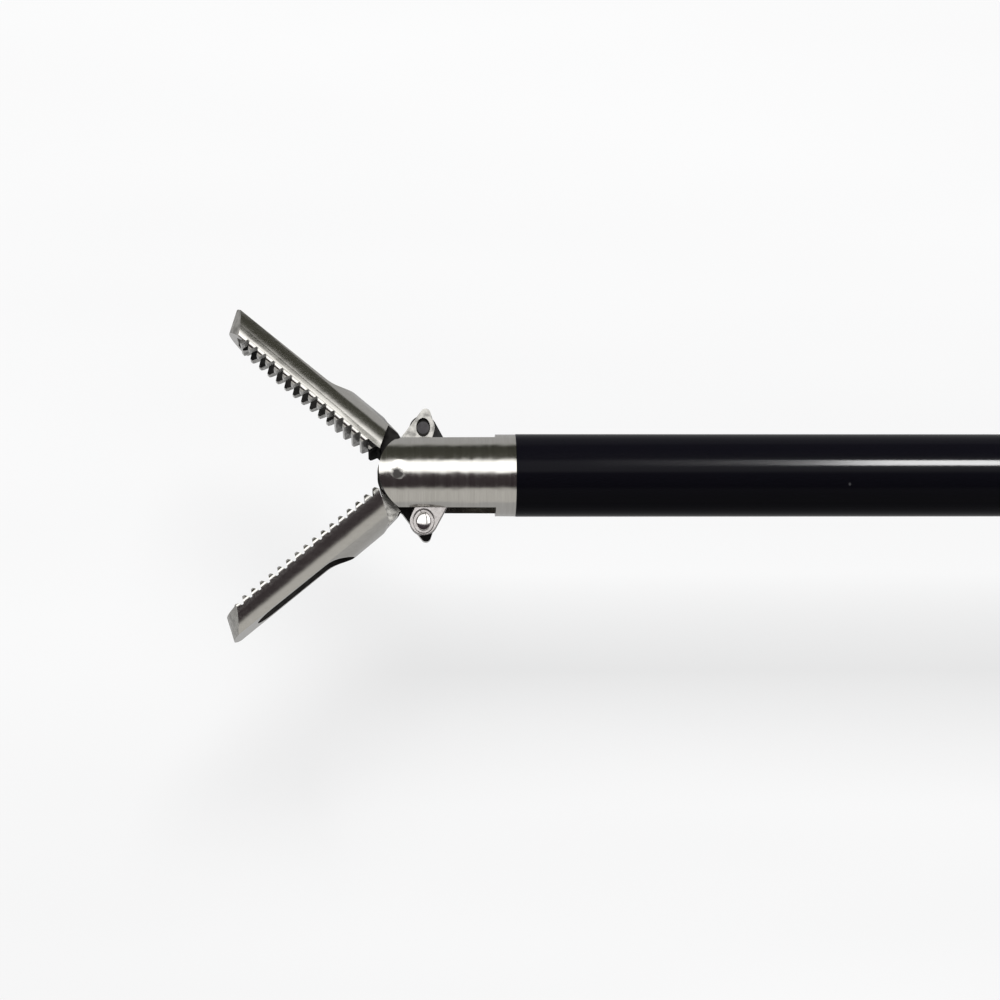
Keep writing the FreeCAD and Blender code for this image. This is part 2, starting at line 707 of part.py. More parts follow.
def ring(inner_radius, straight):
    """A ring for fingers round the origin, drawn out along Y by a straight length."""
    middle = inner_radius + bar_width / 2
    axis = Vector(0, 0, 1)
    if straight <= 0:
        return bar_section(middle, bar_width / 2, bar_half_height).revolve(Vector(0, 0, 0), axis, 360)
    pieces = []
    for side in (1, -1):
        bend = bar_section(side * middle, bar_width / 2, bar_half_height).revolve(Vector(0, 0, 0), axis, 180)
        bend.translate(Vector(0, side * straight / 2, 0))
        pieces.append(bend)
        bar = bar_section(side * middle, bar_width / 2, bar_half_height)
        bar.translate(Vector(0, -straight / 2, 0))
        pieces.append(bar.extrude(Vector(0, straight, 0)))
    return pieces[0].fuse(pieces[1:]).removeSplitter()


def soft_plate(discs, half_height, edge):
    """A plate round some discs, with its outer edges rounded."""
    body = plate(band_face(discs), -half_height, half_height)
    return rounded(body, edge, on_plate_face(-half_height, half_height))


def finger_loop():
    """The fixed loop and the stem that joins it to the housing."""
    x = lever_x + loop_offset[0]
    y = lever_y + loop_offset[1]
    loop = ring(loop_inner_radius, loop_straight)
    loop.rotate(Vector(0, 0, 0), Vector(0, 0, 1), -loop_lean)
    loop.translate(Vector(x, y, 0))
    reach = loop_straight / 2 + loop_inner_radius + bar_width / 2
    foot = polar(reach, 90 - loop_lean, x, y)
    top_x = handle_front + stem_setback
    stem = soft_plate([(foot[0], foot[1], stem_foot_radius), (top_x, -stem_top_radius / 2, stem_top_radius)],
                      stem_half_height, body_edge)
    hole = ring_hole(loop_inner_radius, loop_straight)
    hole.rotate(Vector(0, 0, 0), Vector(0, 0, 1), -loop_lean)
    hole.translate(Vector(x, y, 0))
    return loop.fuse(stem.cut(hole))


def ring_hole(inner_radius, straight):
    """The opening of a ring, as wide as between the crowns of its bars, to trim a stem that runs in."""
    radius = inner_radius + bar_width / 2
    if straight <= 0:
        return cylinder_z(radius, -2 * bar_half_height, 2 * bar_half_height)
    face = band_face([(0, straight / 2, radius), (0, -straight / 2, radius)])
    return plate(face, -2 * bar_half_height, 2 * bar_half_height)


def handle_body():
    """The moulded housing: bearing for the hub, cheeks round the lever, and the fixed finger loop."""
    radius = handle_end_radius
    cheeks = [(handle_front + radius, radius - body_top + 1.0, radius), (lever_x, lever_y, cheek_radius),
              (lever_x + cheek_radius - radius, body_top - radius, radius),
              (handle_front + radius, body_top - radius, radius)]
    housing = soft_plate(cheeks, body_half_width, body_edge)
    housing = housing.fuse(finger_loop())
    half_slot = lever_half_width + lever_side_gap
    pocket_back = retainer_back + pocket_play
    slot = block(pocket_back, pocket_back + cut_reach, -cut_reach, body_top - roof_thickness,
                 -half_slot, half_slot)
    tools = [slot, cylinder_x(hub_radius + running_gap, handle_front - 1, pocket_back),
             cylinder_x(clip_radius + clip_run_play, bearing_end, pocket_back),
             cylinder_z(lever_screw_radius + seat_gap, -2 * body_half_width, 2 * body_half_width, lever_x, lever_y)]
    for side in (1, -1):
        low = min(side * (body_half_width - screw_head_sink), side * 2 * body_half_width)
        tools.append(cylinder_z(screw_head_radius + screw_head_gap, low, low + body_half_width + screw_head_sink,
                                lever_x, lever_y))
    tools.append(cylinder_y(post_base_radius, post_seat, body_top + 1, post_x))
    half_strip = strip_width / 2 + strip_side_gap
    tools.append(block(post_x - strip_reach - 1, post_x + strip_reach, 0, post_seat, -half_strip, half_strip))
    return housing.cut(tools)


def driver_slot(low, high):
    """The straight slot across the pivot screw's head or nut."""
    side = 2 * screw_head_radius
    half = driver_slot_width / 2
    return block(lever_x - side, lever_x + side, lever_y - half, lever_y + half, low, high)


def lever_pivot_screw():
    """The shoulder screw that the thumb lever turns on."""
    head_low = body_half_width - screw_head_sink
    head_top = body_half_width - screw_head_recess
    head = cylinder_z(screw_head_radius, head_low, head_top, lever_x, lever_y)
    shank = cylinder_z(lever_screw_radius, -screw_shank_end, head_low, lever_x, lever_y)
    driver = driver_slot(head_top - driver_slot_depth, body_half_width)
    return head.fuse(shank).cut(driver).removeSplitter()


def lever_pivot_nut():
    """The slotted nut sunk in the other cheek."""
    low = -(body_half_width - screw_head_recess)
    high = -(body_half_width - screw_head_sink)
    nut = cylinder_z(screw_head_radius, low, high, lever_x, lever_y)
    nut = nut.cut(cylinder_z(lever_screw_radius, -screw_shank_end, high + 1, lever_x, lever_y))
    return nut.cut(driver_slot(low - 1, low + nut_slot_depth))


def contact_strip():
    """The bent spring strip from the post's foot to the turning hub."""
    top = post_seat
    low = hub_radius + strip_stand_off
    half = strip_width / 2
    outline = [(post_x + strip_foot, top), (post_x - strip_reach / 2, top), (post_x - strip_reach, low),
               (post_x - strip_reach + 1.4 * strip_thickness, low),
               (post_x - strip_reach / 2 + strip_thickness, top - strip_thickness),
               (post_x + strip_foot, top - strip_thickness)]
    return polygon([(x, y, -half) for x, y in outline]).extrude(Vector(0, 0, strip_width))


def connector_post():
    """The 4 mm plug pin for the electrosurgical lead, screwed into the housing."""
    shoulder = body_top + collar_height
    top = shoulder + post_length
    base = cylinder_y(post_base_radius, post_seat, shoulder, post_x)
    pin = cylinder_y(post_radius, body_top, top, post_x)
    pin = rounded(pin, post_tip_radius, lambda edge: abs(edge.BoundBox.YMin - top) < 1e-6
                  and edge.BoundBox.YLength < 1e-6)
    return base.fuse(pin).removeSplitter()


def post_insulator():
    """The plastic collar round the foot of the post."""
    top = body_top + collar_height
    collar = cylinder_y(collar_radius, body_top, top, post_x)
    collar = rounded(collar, collar_rim_radius, lambda edge: abs(edge.BoundBox.YMin - top) < 1e-6
                     and edge.BoundBox.YLength < 1e-6)
    return collar.cut(cylinder_y(post_base_radius + seat_gap, body_top - 1, top + 1, post_x))


# Thumb lever, upright about its pivot, then leaned to the rest pose

def thumb_lever():
    """The lever with the ball's fork above its pivot and the thumb ring below."""
    middle_lean = lever_rest_lean - lever_travel / 2
    ring_x, ring_y = polar(thumb_reach, middle_lean - 90)
    top = lever_arm + fork_rise
    corner = fork_wall
    fork_discs = [(-fork_half + corner, 0, corner), (fork_half - corner, 0, corner),
                  (fork_half - corner, top - corner, corner), (-fork_half + corner, top - corner, corner)]
    fork = plate(band_face(fork_discs), -lever_half_width, lever_half_width)
    boss = cylinder_z(lever_hub_radius, -lever_half_width, lever_half_width)
    foot = polar(thumb_reach - thumb_inner_radius - bar_width / 2, middle_lean - 90)
    stem = soft_plate([(0, 0, lever_hub_radius), (foot[0], foot[1], lever_stem_radius)],
                      lever_half_width, body_edge / 2)
    hole = ring_hole(thumb_inner_radius, 0)
    hole.translate(Vector(ring_x, ring_y, 0))
    thumb_ring = ring(thumb_inner_radius, 0)
    thumb_ring.translate(Vector(ring_x, ring_y, 0))
    lever = fork.fuse([boss, stem.cut(hole), thumb_ring])
    pocket_floor = lever_arm - ball_radius - ball_play
    slit = rod_radius + slit_play
    slit_floor = lever_arm - slit - fork_half * math.tan(math.radians(lever_travel / 2))
    tools = [cylinder_z(lever_screw_radius + running_gap, -2 * lever_half_width, 2 * lever_half_width),
             cylinder_y(ball_radius + running_gap, pocket_floor, top + 1),
             block(-2 * fork_half, 0, slit_floor, top + 1, -slit, slit)]
    lever = lever.cut(tools)
    lever.rotate(Vector(0, 0, 0), Vector(0, 0, 1), lever_travel / 2)
    lever.translate(Vector(lever_x, lever_y, 0))
    return lever


pieces = [jaw_upper, jaw_lower, link_rivet_upper, link_rivet_lower, link_upper, link_lower, clevis, jaw_pivot_pin,
          inner_tube, insulation_sleeve, rotation_knob, knob_set_screw, shaft_hub, friction_o_ring,
          hub_retaining_ring, rod_seal, seal_retainer, pull_rod, rod_pin, rod_ball, handle_body,
          lever_pivot_screw, lever_pivot_nut, contact_strip, connector_post, post_insulator, thumb_lever]

os.makedirs("parts", exist_ok=True)
for piece in pieces:
    shape = piece()
    solids = shape.Solids
    if len(solids) == 1:
        shape = solids[0]
    shape.exportStep("parts/" + piece.__name__ + ".step")
    print(piece.__name__, len(solids), shape.isValid(), round(shape.Volume, 3))
print("stroke", round(stroke, 4), "lever", round(lever_x, 3), round(lever_y, 3), "knob", round(knob_front, 2),
      "ball", round(ball_x, 3), "post", round(post_x, 3))
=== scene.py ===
from math import atan2, pi, radians

import bmesh
import bpy
import numpy as np
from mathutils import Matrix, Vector


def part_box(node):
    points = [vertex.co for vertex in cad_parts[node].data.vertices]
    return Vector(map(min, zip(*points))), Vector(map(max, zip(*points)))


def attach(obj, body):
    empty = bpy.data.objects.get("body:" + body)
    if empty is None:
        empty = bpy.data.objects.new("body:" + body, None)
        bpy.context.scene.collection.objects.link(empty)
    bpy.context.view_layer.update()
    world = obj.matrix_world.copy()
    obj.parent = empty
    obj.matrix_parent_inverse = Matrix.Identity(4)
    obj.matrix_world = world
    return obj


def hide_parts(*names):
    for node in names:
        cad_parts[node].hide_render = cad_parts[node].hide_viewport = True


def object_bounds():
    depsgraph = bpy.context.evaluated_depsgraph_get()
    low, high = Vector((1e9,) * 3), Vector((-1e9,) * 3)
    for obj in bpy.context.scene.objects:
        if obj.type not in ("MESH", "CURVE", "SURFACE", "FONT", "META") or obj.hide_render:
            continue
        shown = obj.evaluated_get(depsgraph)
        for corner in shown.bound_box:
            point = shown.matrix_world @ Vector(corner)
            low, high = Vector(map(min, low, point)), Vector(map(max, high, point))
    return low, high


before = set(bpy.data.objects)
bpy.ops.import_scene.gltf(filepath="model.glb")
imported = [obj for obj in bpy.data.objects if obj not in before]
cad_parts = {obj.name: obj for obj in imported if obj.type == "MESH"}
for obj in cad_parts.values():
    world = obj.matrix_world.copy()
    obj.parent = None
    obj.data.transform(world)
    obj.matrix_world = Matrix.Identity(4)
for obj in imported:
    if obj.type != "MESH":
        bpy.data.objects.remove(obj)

cadLow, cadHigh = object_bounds()
mm = 0.001
print("frame loaded, CAD box", cadLow, cadHigh)


def addNode(tree, kind, place=(0, 0), **values):
    # one node with its plain settings; names that start with in_ are input sockets
    node = tree.nodes.new(kind)
    node.location = place
    for name, value in values.items():
        if name.startswith("in_"):
            node.inputs[name[3:].replace("_", " ")].default_value = value
        else:
            setattr(node, name, value)
    return node


def startGroup(name, inputs, outputs):
    # a shader group with its sockets given as (name, kind, value), and as (name, kind) where they leave
    group = bpy.data.node_groups.new(name, "ShaderNodeTree")
    kinds = {"float": "NodeSocketFloat", "vector": "NodeSocketVector"}
    for label, kind, value in inputs:
        socket = group.interface.new_socket(label, in_out="INPUT", socket_type=kinds[kind])
        if value is not None:
            socket.default_value = value
    for label, kind in outputs:
        group.interface.new_socket(label, in_out="OUTPUT", socket_type=kinds[kind])
    entry = addNode(group, "NodeGroupInput", (-900, 0))
    leave = addNode(group, "NodeGroupOutput", (700, 0))
    return group, entry, leave


def useGroup(tree, group, place=(0, 0), **values):
    # one use of a group with its own values
    node = addNode(tree, "ShaderNodeGroup", place, node_tree=group)
    for name, value in values.items():
        node.inputs[name].default_value = value
    return node


def ramp(tree, stops, place=(0, 0)):
    # a colour ramp with its stops given as (position, colour)
    node = addNode(tree, "ShaderNodeValToRGB", place)
    band = node.color_ramp
    while len(band.elements) < len(stops):
        band.elements.new(0.5)
    for element, (position, colour) in zip(band.elements, stops):
        element.position = position
        element.color = (*colour, 1.0)
    return node


brushing = {"fine": 1.0, "wide": 0.22, "fineShare": 0.6, "wideShare": 0.4, "height": 0.002 * mm}


def buildBrushing(values):
    # brushed strokes: noise in two widths, added by their shares; the Mapping before it stretches them;
    # the height of soft dents is added for the normal only
    group, entry, leave = startGroup("brushingMarks", [("Vector", "vector", None), ("Depth", "float", 0.3),
                                                       ("Dents", "float", 0.0)],
                                     [("Strokes", "float"), ("Normal", "vector")])
    link = group.links.new
    fine = addNode(group, "ShaderNodeTexNoise", (-600, 200), in_Scale=values["fine"], in_Detail=4.0,
                   in_Roughness=0.6)
    wide = addNode(group, "ShaderNodeTexNoise", (-600, -100), in_Scale=values["wide"], in_Detail=3.0,
                   in_Roughness=0.5)
    mixed = addNode(group, "ShaderNodeMath", (-300, 100), operation="MULTIPLY_ADD")
    mixed.inputs[1].default_value = values["fineShare"]
    half = addNode(group, "ShaderNodeMath", (-450, -50), operation="MULTIPLY")
    half.inputs[1].default_value = values["wideShare"]
    dented = addNode(group, "ShaderNodeMath", (0, -200), operation="ADD")
    bump = addNode(group, "ShaderNodeBump", (200, -200), in_Distance=values["height"])
    for texture in (fine, wide):
        link(entry.outputs["Vector"], texture.inputs["Vector"])
    link(wide.outputs["Fac"], half.inputs[0])
    link(fine.outputs["Fac"], mixed.inputs[0])
    link(half.outputs[0], mixed.inputs[2])
    link(mixed.outputs[0], dented.inputs[0])
    link(entry.outputs["Dents"], dented.inputs[1])
    link(dented.outputs[0], bump.inputs["Height"])
    link(entry.outputs["Depth"], bump.inputs["Strength"])
    link(mixed.outputs[0], leave.inputs["Strokes"])
    link(bump.outputs["Normal"], leave.inputs["Normal"])
    return group


dust = {"scale": 620.0, "size": 0.055, "rarity": 0.60, "patches": 420.0}


def buildSpecks(values):
    # scattered dust: small discs round the points of a cell pattern, kept where a second noise is high
    group, entry, leave = startGroup("dustSpecks", [("Vector", "vector", None),
                                                    ("Scale", "float", values["scale"]),
                                                    ("Size", "float", values["size"]),
                                                    ("Rarity", "float", values["rarity"])],
                                     [("Mask", "float")])
    link = group.links.new
    cells = addNode(group, "ShaderNodeTexVoronoi", (-600, 100), feature="F1")
    disc = addNode(group, "ShaderNodeMath", (-300, 100), operation="LESS_THAN")
    pick = addNode(group, "ShaderNodeTexNoise", (-600, -200), in_Scale=values["patches"], in_Detail=1.0)
    rare = addNode(group, "ShaderNodeMath", (-300, -200), operation="GREATER_THAN")
    both = addNode(group, "ShaderNodeMath", (0, 0), operation="MULTIPLY")
    link(entry.outputs["Vector"], cells.inputs["Vector"])
    link(entry.outputs["Vector"], pick.inputs["Vector"])
    link(entry.outputs["Scale"], cells.inputs["Scale"])
    link(cells.outputs["Distance"], disc.inputs[0])
    link(entry.outputs["Size"], disc.inputs[1])
    link(pick.outputs["Fac"], rare.inputs[0])
    link(entry.outputs["Rarity"], rare.inputs[1])
    link(disc.outputs[0], both.inputs[0])
    link(rare.outputs[0], both.inputs[1])
    link(both.outputs[0], leave.inputs["Mask"])
    return group


moulding = {"clouds": 45.0, "height": 0.03 * mm}


def buildMouldGrain(values):
    # pimples of moulded plastic as a normal, and slow clouds of handling polish
    group, entry, leave = startGroup("mouldGrain", [("Vector", "vector", None), ("Scale", "float", 2500.0),
                                                    ("Depth", "float", 0.25)],
                                     [("Clouds", "float"), ("Normal", "vector")])
    link = group.links.new
    pimples = addNode(group, "ShaderNodeTexNoise", (-600, 100), in_Detail=3.0, in_Roughness=0.65)
    clouds = addNode(group, "ShaderNodeTexNoise", (-600, -200), in_Scale=values["clouds"], in_Detail=3.0)
    bump = addNode(group, "ShaderNodeBump", (0, -100), in_Distance=values["height"])
    for texture in (pimples, clouds):
        link(entry.outputs["Vector"], texture.inputs["Vector"])
    link(entry.outputs["Scale"], pimples.inputs["Scale"])
    link(pimples.outputs["Fac"], bump.inputs["Height"])
    link(entry.outputs["Depth"], bump.inputs["Strength"])
    link(clouds.outputs["Fac"], leave.inputs["Clouds"])
    link(bump.outputs["Normal"], leave.inputs["Normal"])
    return group


brushingGroup = buildBrushing(brushing)
speckGroup = buildSpecks(dust)
mouldGroup = buildMouldGrain(moulding)


def startMaterial(name):
    # an empty material with its shader and its coordinates
    material = bpy.data.materials.new(name)
    material.use_nodes = True
    tree = material.node_tree
    tree.nodes.clear()
    shader = addNode(tree, "ShaderNodeBsdfPrincipled", (600, 0))
    leave = addNode(tree, "ShaderNodeOutputMaterial", (900, 0))
    tree.links.new(shader.outputs["BSDF"], leave.inputs["Surface"])
    place = addNode(tree, "ShaderNodeTexCoord", (-1100, 0))
    return material, tree, shader, place


shadeMottle = {"scale": 2600.0, "low": 0.38, "high": 0.62, "darker": 0.55, "brighter": 1.4}


def mottledShade(tree, place, values):
    # painted shade made uneven: the "shade" attribute to the power of a noise; half shades turn uneven, 0
    # and 1 stay as they are
    shade = addNode(tree, "ShaderNodeAttribute", (-350, 450), attribute_name="shade")
    spots = addNode(tree, "ShaderNodeTexNoise", (-900, 600), in_Scale=values["scale"], in_Detail=3.0)
    strength = addNode(tree, "ShaderNodeMapRange", (-700, 600), in_From_Min=values["low"],
                       in_From_Max=values["high"], in_To_Min=values["darker"], in_To_Max=values["brighter"])
    uneven = addNode(tree, "ShaderNodeMath", (-150, 450), operation="POWER")
    tree.links.new(place.outputs["Object"], spots.inputs["Vector"])
    tree.links.new(spots.outputs["Fac"], strength.inputs["Value"])
    tree.links.new(shade.outputs["Fac"], uneven.inputs[0])
    tree.links.new(strength.outputs["Result"], uneven.inputs[1])
    return uneven.outputs[0]


def wornMark(tree, place, mark):
    # mask of a ragged dark mark: 1 within half the radius of a point in X and Y, 0 beyond the radius
    ragged = addNode(tree, "ShaderNodeTexNoise", (-900, 700), in_Scale=mark["ragged"], in_Detail=3.0)
    pushed = addNode(tree, "ShaderNodeVectorMath", (-700, 700), operation="MULTIPLY_ADD")
    flat = addNode(tree, "ShaderNodeVectorMath", (-550, 700), operation="MULTIPLY")
    gap = addNode(tree, "ShaderNodeVectorMath", (-400, 700), operation="DISTANCE")
    fade = addNode(tree, "ShaderNodeMapRange", (-200, 700), in_From_Min=0.5 * mark["radius"],
                   in_From_Max=mark["radius"], in_To_Min=mark["depth"], in_To_Max=0.0)
    pushed.inputs[1].default_value = (mark["radius"],) * 3
    flat.inputs[1].default_value = (1, 1, 0)
    gap.inputs[1].default_value = mark["at"]
    tree.links.new(place.outputs["Object"], ragged.inputs["Vector"])
    tree.links.new(ragged.outputs["Color"], pushed.inputs[0])
    tree.links.new(place.outputs["Object"], pushed.inputs[2])
    tree.links.new(pushed.outputs[0], flat.inputs[0])
    tree.links.new(flat.outputs[0], gap.inputs[0])
    tree.links.new(gap.outputs["Value"], fade.inputs["Value"])
    return fade.outputs["Result"]


strokeSpan = {"low": 0.30, "high": 0.70}


def steel(name, dark, light, roughness, spread, stroke, turn=0.0, depth=0.25, shaded=None, mark=None,
          dents=None):
    # brushed steel: strokes shift the colour between two tones and the roughness by a spread;
    # where the piece has a "shade" attribute, that share is painted shade, a dull dark colour with the
    # metal's reflection taken away; a worn mark is mixed in the same way; dents are slow noise of a scale,
    # times a height in the strokes' own units
    material, tree, shader, place = startMaterial(name)
    link = tree.links.new
    shader.inputs["Metallic"].default_value = 1.0
    mapping = addNode(tree, "ShaderNodeMapping", (-900, 0), in_Rotation=(0, 0, turn), in_Scale=stroke)
    marks = useGroup(tree, brushingGroup, (-650, 0), Depth=depth)
    low, high = strokeSpan["low"], strokeSpan["high"]
    tones = ramp(tree, [(low, dark), (high, light)], (-350, 200))
    rough = addNode(tree, "ShaderNodeMapRange", (-350, -150), in_From_Min=low, in_From_Max=high,
                    in_To_Min=roughness - spread, in_To_Max=roughness + spread)
    link(place.outputs["Object"], mapping.inputs["Vector"])
    link(mapping.outputs["Vector"], marks.inputs["Vector"])
    link(marks.outputs["Strokes"], tones.inputs["Fac"])
    link(marks.outputs["Strokes"], rough.inputs["Value"])
    link(rough.outputs["Result"], shader.inputs["Roughness"])
    link(marks.outputs["Normal"], shader.inputs["Normal"])
    if dents is not None:
        hollows = addNode(tree, "ShaderNodeTexNoise", (-1100, -400), in_Scale=dents["scale"], in_Detail=1.0)
        deep = addNode(tree, "ShaderNodeMath", (-850, -400), operation="MULTIPLY")
        deep.inputs[1].default_value = dents["height"]
        link(place.outputs["Object"], hollows.inputs["Vector"])
        link(hollows.outputs["Fac"], deep.inputs[0])
        link(deep.outputs[0], marks.inputs["Dents"])
    if shaded is None:
        link(tones.outputs["Color"], shader.inputs["Base Color"])
        return material
    mix = addNode(tree, "ShaderNodeMix", (250, 200), data_type="RGBA")
    mix.inputs[7].default_value = (*shaded, 1)
    amount = mottledShade(tree, place, shadeMottle) if mark is None else wornMark(tree, place, mark)
    bare = addNode(tree, "ShaderNodeMath", (250, -50), operation="SUBTRACT")
    bare.inputs[0].default_value = 1.0
    shader.inputs["Specular IOR Level"].default_value = 0.0
    link(amount, mix.inputs[0])
    link(amount, bare.inputs[1])
    link(bare.outputs[0], shader.inputs["Metallic"])
    link(tones.outputs["Color"], mix.inputs[6])
    link(mix.outputs[2], shader.inputs["Base Color"])
    return material


moulded = {"shine": 0.35, "low": 0.35, "high": 0.75, "worn": 0.70, "duller": 0.06, "smoother": 0.10}


def plastic(name, colour, worn, roughness, grainScale, grainDepth):
    # moulded plastic: pimpled grain, with handled patches a little lighter and smoother
    material, tree, shader, place = startMaterial(name)
    link = tree.links.new
    m = moulded
    shader.inputs["Specular IOR Level"].default_value = m["shine"]
    grain = useGroup(tree, mouldGroup, (-650, 0), Scale=grainScale, Depth=grainDepth)
    tones = ramp(tree, [(m["low"], colour), (m["high"], worn)], (-350, 200))
    rough = addNode(tree, "ShaderNodeMapRange", (-350, -150), in_From_Min=m["low"], in_From_Max=m["worn"],
                    in_To_Min=roughness + m["duller"], in_To_Max=roughness - m["smoother"])
    link(place.outputs["Object"], grain.inputs["Vector"])
    link(grain.outputs["Clouds"], tones.inputs["Fac"])
    link(grain.outputs["Clouds"], rough.inputs["Value"])
    link(tones.outputs["Color"], shader.inputs["Base Color"])
    link(rough.outputs["Result"], shader.inputs["Roughness"])
    link(grain.outputs["Normal"], shader.inputs["Normal"])
    return material


tubing = {"colour": (0.0028, 0.0027, 0.0042), "dust": (0.035, 0.035, 0.037), "shine": 0.04,
          "stretch": (120, 3000, 3000), "marks": 0.05, "smooth": 0.095, "rough": 0.14}


def insulationSkin(name, values):
    # smooth black tubing: faint lengthwise drawing marks and a few specks of dust
    material, tree, shader, place = startMaterial(name)
    link = tree.links.new
    shader.inputs["Specular IOR Level"].default_value = values["shine"]
    mapping = addNode(tree, "ShaderNodeMapping", (-900, 0), in_Scale=values["stretch"])
    marks = useGroup(tree, brushingGroup, (-650, 0), Depth=values["marks"])
    specks = useGroup(tree, speckGroup, (-650, -300))
    paint = addNode(tree, "ShaderNodeMix", (-100, 200), data_type="RGBA")
    rough = addNode(tree, "ShaderNodeMapRange", (-350, -150), in_From_Min=strokeSpan["low"],
                    in_From_Max=strokeSpan["high"], in_To_Min=values["smooth"], in_To_Max=values["rough"])
    paint.inputs[6].default_value = (*values["colour"], 1)
    paint.inputs[7].default_value = (*values["dust"], 1)
    link(place.outputs["Object"], mapping.inputs["Vector"])
    link(mapping.outputs["Vector"], marks.inputs["Vector"])
    link(place.outputs["Object"], specks.inputs["Vector"])
    link(specks.outputs["Mask"], paint.inputs["Factor"])
    link(paint.outputs[2], shader.inputs["Base Color"])
    link(marks.outputs["Strokes"], rough.inputs["Value"])
    link(rough.outputs["Result"], shader.inputs["Roughness"])
    link(marks.outputs["Normal"], shader.inputs["Normal"])
    return material


jawAngle = radians(40.0)
steelTones = {"dark": (0.50, 0.485, 0.455), "light": (0.60, 0.585, 0.555)}
# painted shade: the dull dark colour that the "shade" attribute mixes into jaws and clevis where they lie
# in shade
paintedShadeTone = (0.006, 0.0057, 0.0054)
pinTone = (0.02, 0.018, 0.018)
clevisDents = {"scale": 1100.0, "height": 55.0}
jawDents = {"scale": 700.0, "height": 30.0}
pinMark = {"at": (-6.90 * mm, -0.07 * mm, 0.0), "radius": 0.46 * mm, "ragged": 4200.0, "depth": 0.95}
finishes = {
    "jawUpper": steel("jawSteelUpper", steelTones["dark"], steelTones["light"], 0.17, 0.04,
                      (500, 24000, 24000), turn=jawAngle, depth=0.3, shaded=paintedShadeTone, dents=jawDents),
    "jawLower": steel("jawSteelLower", steelTones["dark"], steelTones["light"], 0.2, 0.045,
                      (500, 24000, 24000), turn=-jawAngle, depth=0.3, shaded=paintedShadeTone, dents=jawDents),
    # the two link finishes are one link steel painted once as lit and once as in shade; the dark rivet
    # finish is the rivet painted as in shade
    "linkPaintedLit": steel("linkSteelPaintedLit", (0.17, 0.155, 0.15), (0.50, 0.48, 0.475), 0.27, 0.06,
                        (3200, 3200, 3200), depth=0.5),
    "linkInPaintedShade": steel("linkSteelPaintedShade", (0.010, 0.010, 0.010), (0.03, 0.03, 0.03), 0.34, 0.06,
                      (5000, 5000, 5000), depth=0.5),
    "rivetInPaintedShade": steel("rivetSteelPaintedShade", (0.022, 0.021, 0.022), (0.05, 0.048, 0.05), 0.22, 0.05,
                       (6000, 2500, 6000), depth=0.5),
    "pin": steel("pinSteel", steelTones["dark"], steelTones["light"], 0.17, 0.05,
                 (14000, 500, 500), depth=0.2, shaded=pinTone, mark=pinMark, dents=clevisDents),
    "rivet": steel("rivetSteel", (0.58, 0.56, 0.55), (0.70, 0.68, 0.67), 0.12, 0.04,
                   (6000, 6000, 6000), depth=0.1),
    "clevis": steel("clevisSteel", steelTones["dark"], steelTones["light"], 0.17, 0.05,
                    (14000, 500, 500), depth=0.2, shaded=paintedShadeTone, dents=clevisDents),
    "tube": steel("tubeSteel", (0.50, 0.49, 0.47), (0.6, 0.59, 0.57), 0.25, 0.05, (200, 9000, 9000)),
    "screw": steel("screwSteel", (0.46, 0.46, 0.45), (0.58, 0.58, 0.57), 0.28, 0.05, (9000, 9000, 400)),
    "hub": steel("hubSteel", (0.48, 0.48, 0.47), (0.6, 0.6, 0.59), 0.26, 0.05, (9000, 400, 400)),
    "post": steel("postPlating", (0.62, 0.61, 0.6), (0.74, 0.73, 0.72), 0.14, 0.04, (4000, 400, 4000)),
    "brass": steel("contactBrass", (0.66, 0.48, 0.2), (0.78, 0.6, 0.3), 0.3, 0.05, (900, 9000, 9000)),
    "insulation": insulationSkin("blackInsulation", tubing),
    "knob": plastic("knobPlastic", (0.012, 0.012, 0.014), (0.022, 0.022, 0.025), 0.46, 2400.0, 0.25),
    "handle": plastic("handlePlastic", (0.012, 0.012, 0.014), (0.022, 0.022, 0.025), 0.44, 2000.0, 0.25),
    "rubber": plastic("sealRubber", (0.02, 0.02, 0.02), (0.035, 0.035, 0.035), 0.7, 3000.0, 0.3),
}
print("materials made", len(finishes))


def gridMesh(name, points):
    # quads over a grid of points (rows, columns, 3), closed round its columns
    rows, columns = points.shape[:2]
    index = np.arange(rows * columns).reshape(rows, columns)
    right = np.roll(index, -1, axis=1)
    quads = np.stack([index[:-1], right[:-1], right[1:], index[1:]], axis=-1).reshape(-1, 4)
    mesh = bpy.data.meshes.new(name)
    mesh.from_pydata(points.reshape(-1, 3).tolist(), [], quads.tolist())
    return mesh


def finishPiece(name, mesh, material, body, nodes, bevel=0.0, smoothAngle=30.0):
    # puts the piece in the scene, tidies its normals, ties it to its body and hides its CAD nodes
    work = bmesh.new()
    work.from_mesh(mesh)
    bmesh.ops.remove_doubles(work, verts=work.verts, dist=0.0004 * mm)
    bmesh.ops.recalc_face_normals(work, faces=work.faces)
    work.to_mesh(mesh)
    work.free()
    mesh.materials.clear()
    mesh.materials.append(material)
    mesh.shade_smooth()
    mesh.set_sharp_from_angle(angle=radians(smoothAngle))
    piece = bpy.data.objects.new(name, mesh)
    bpy.context.scene.collection.objects.link(piece)
    if bevel:
        soften = piece.modifiers.new("softEdges", "BEVEL")
        soften.width = bevel
        soften.segments = 2
        soften.limit_method = "ANGLE"
        soften.angle_limit = radians(smoothAngle)
        soften.harden_normals = True
        soften.use_clamp_overlap = True
    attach(piece, body)
    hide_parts(*nodes)
    return piece


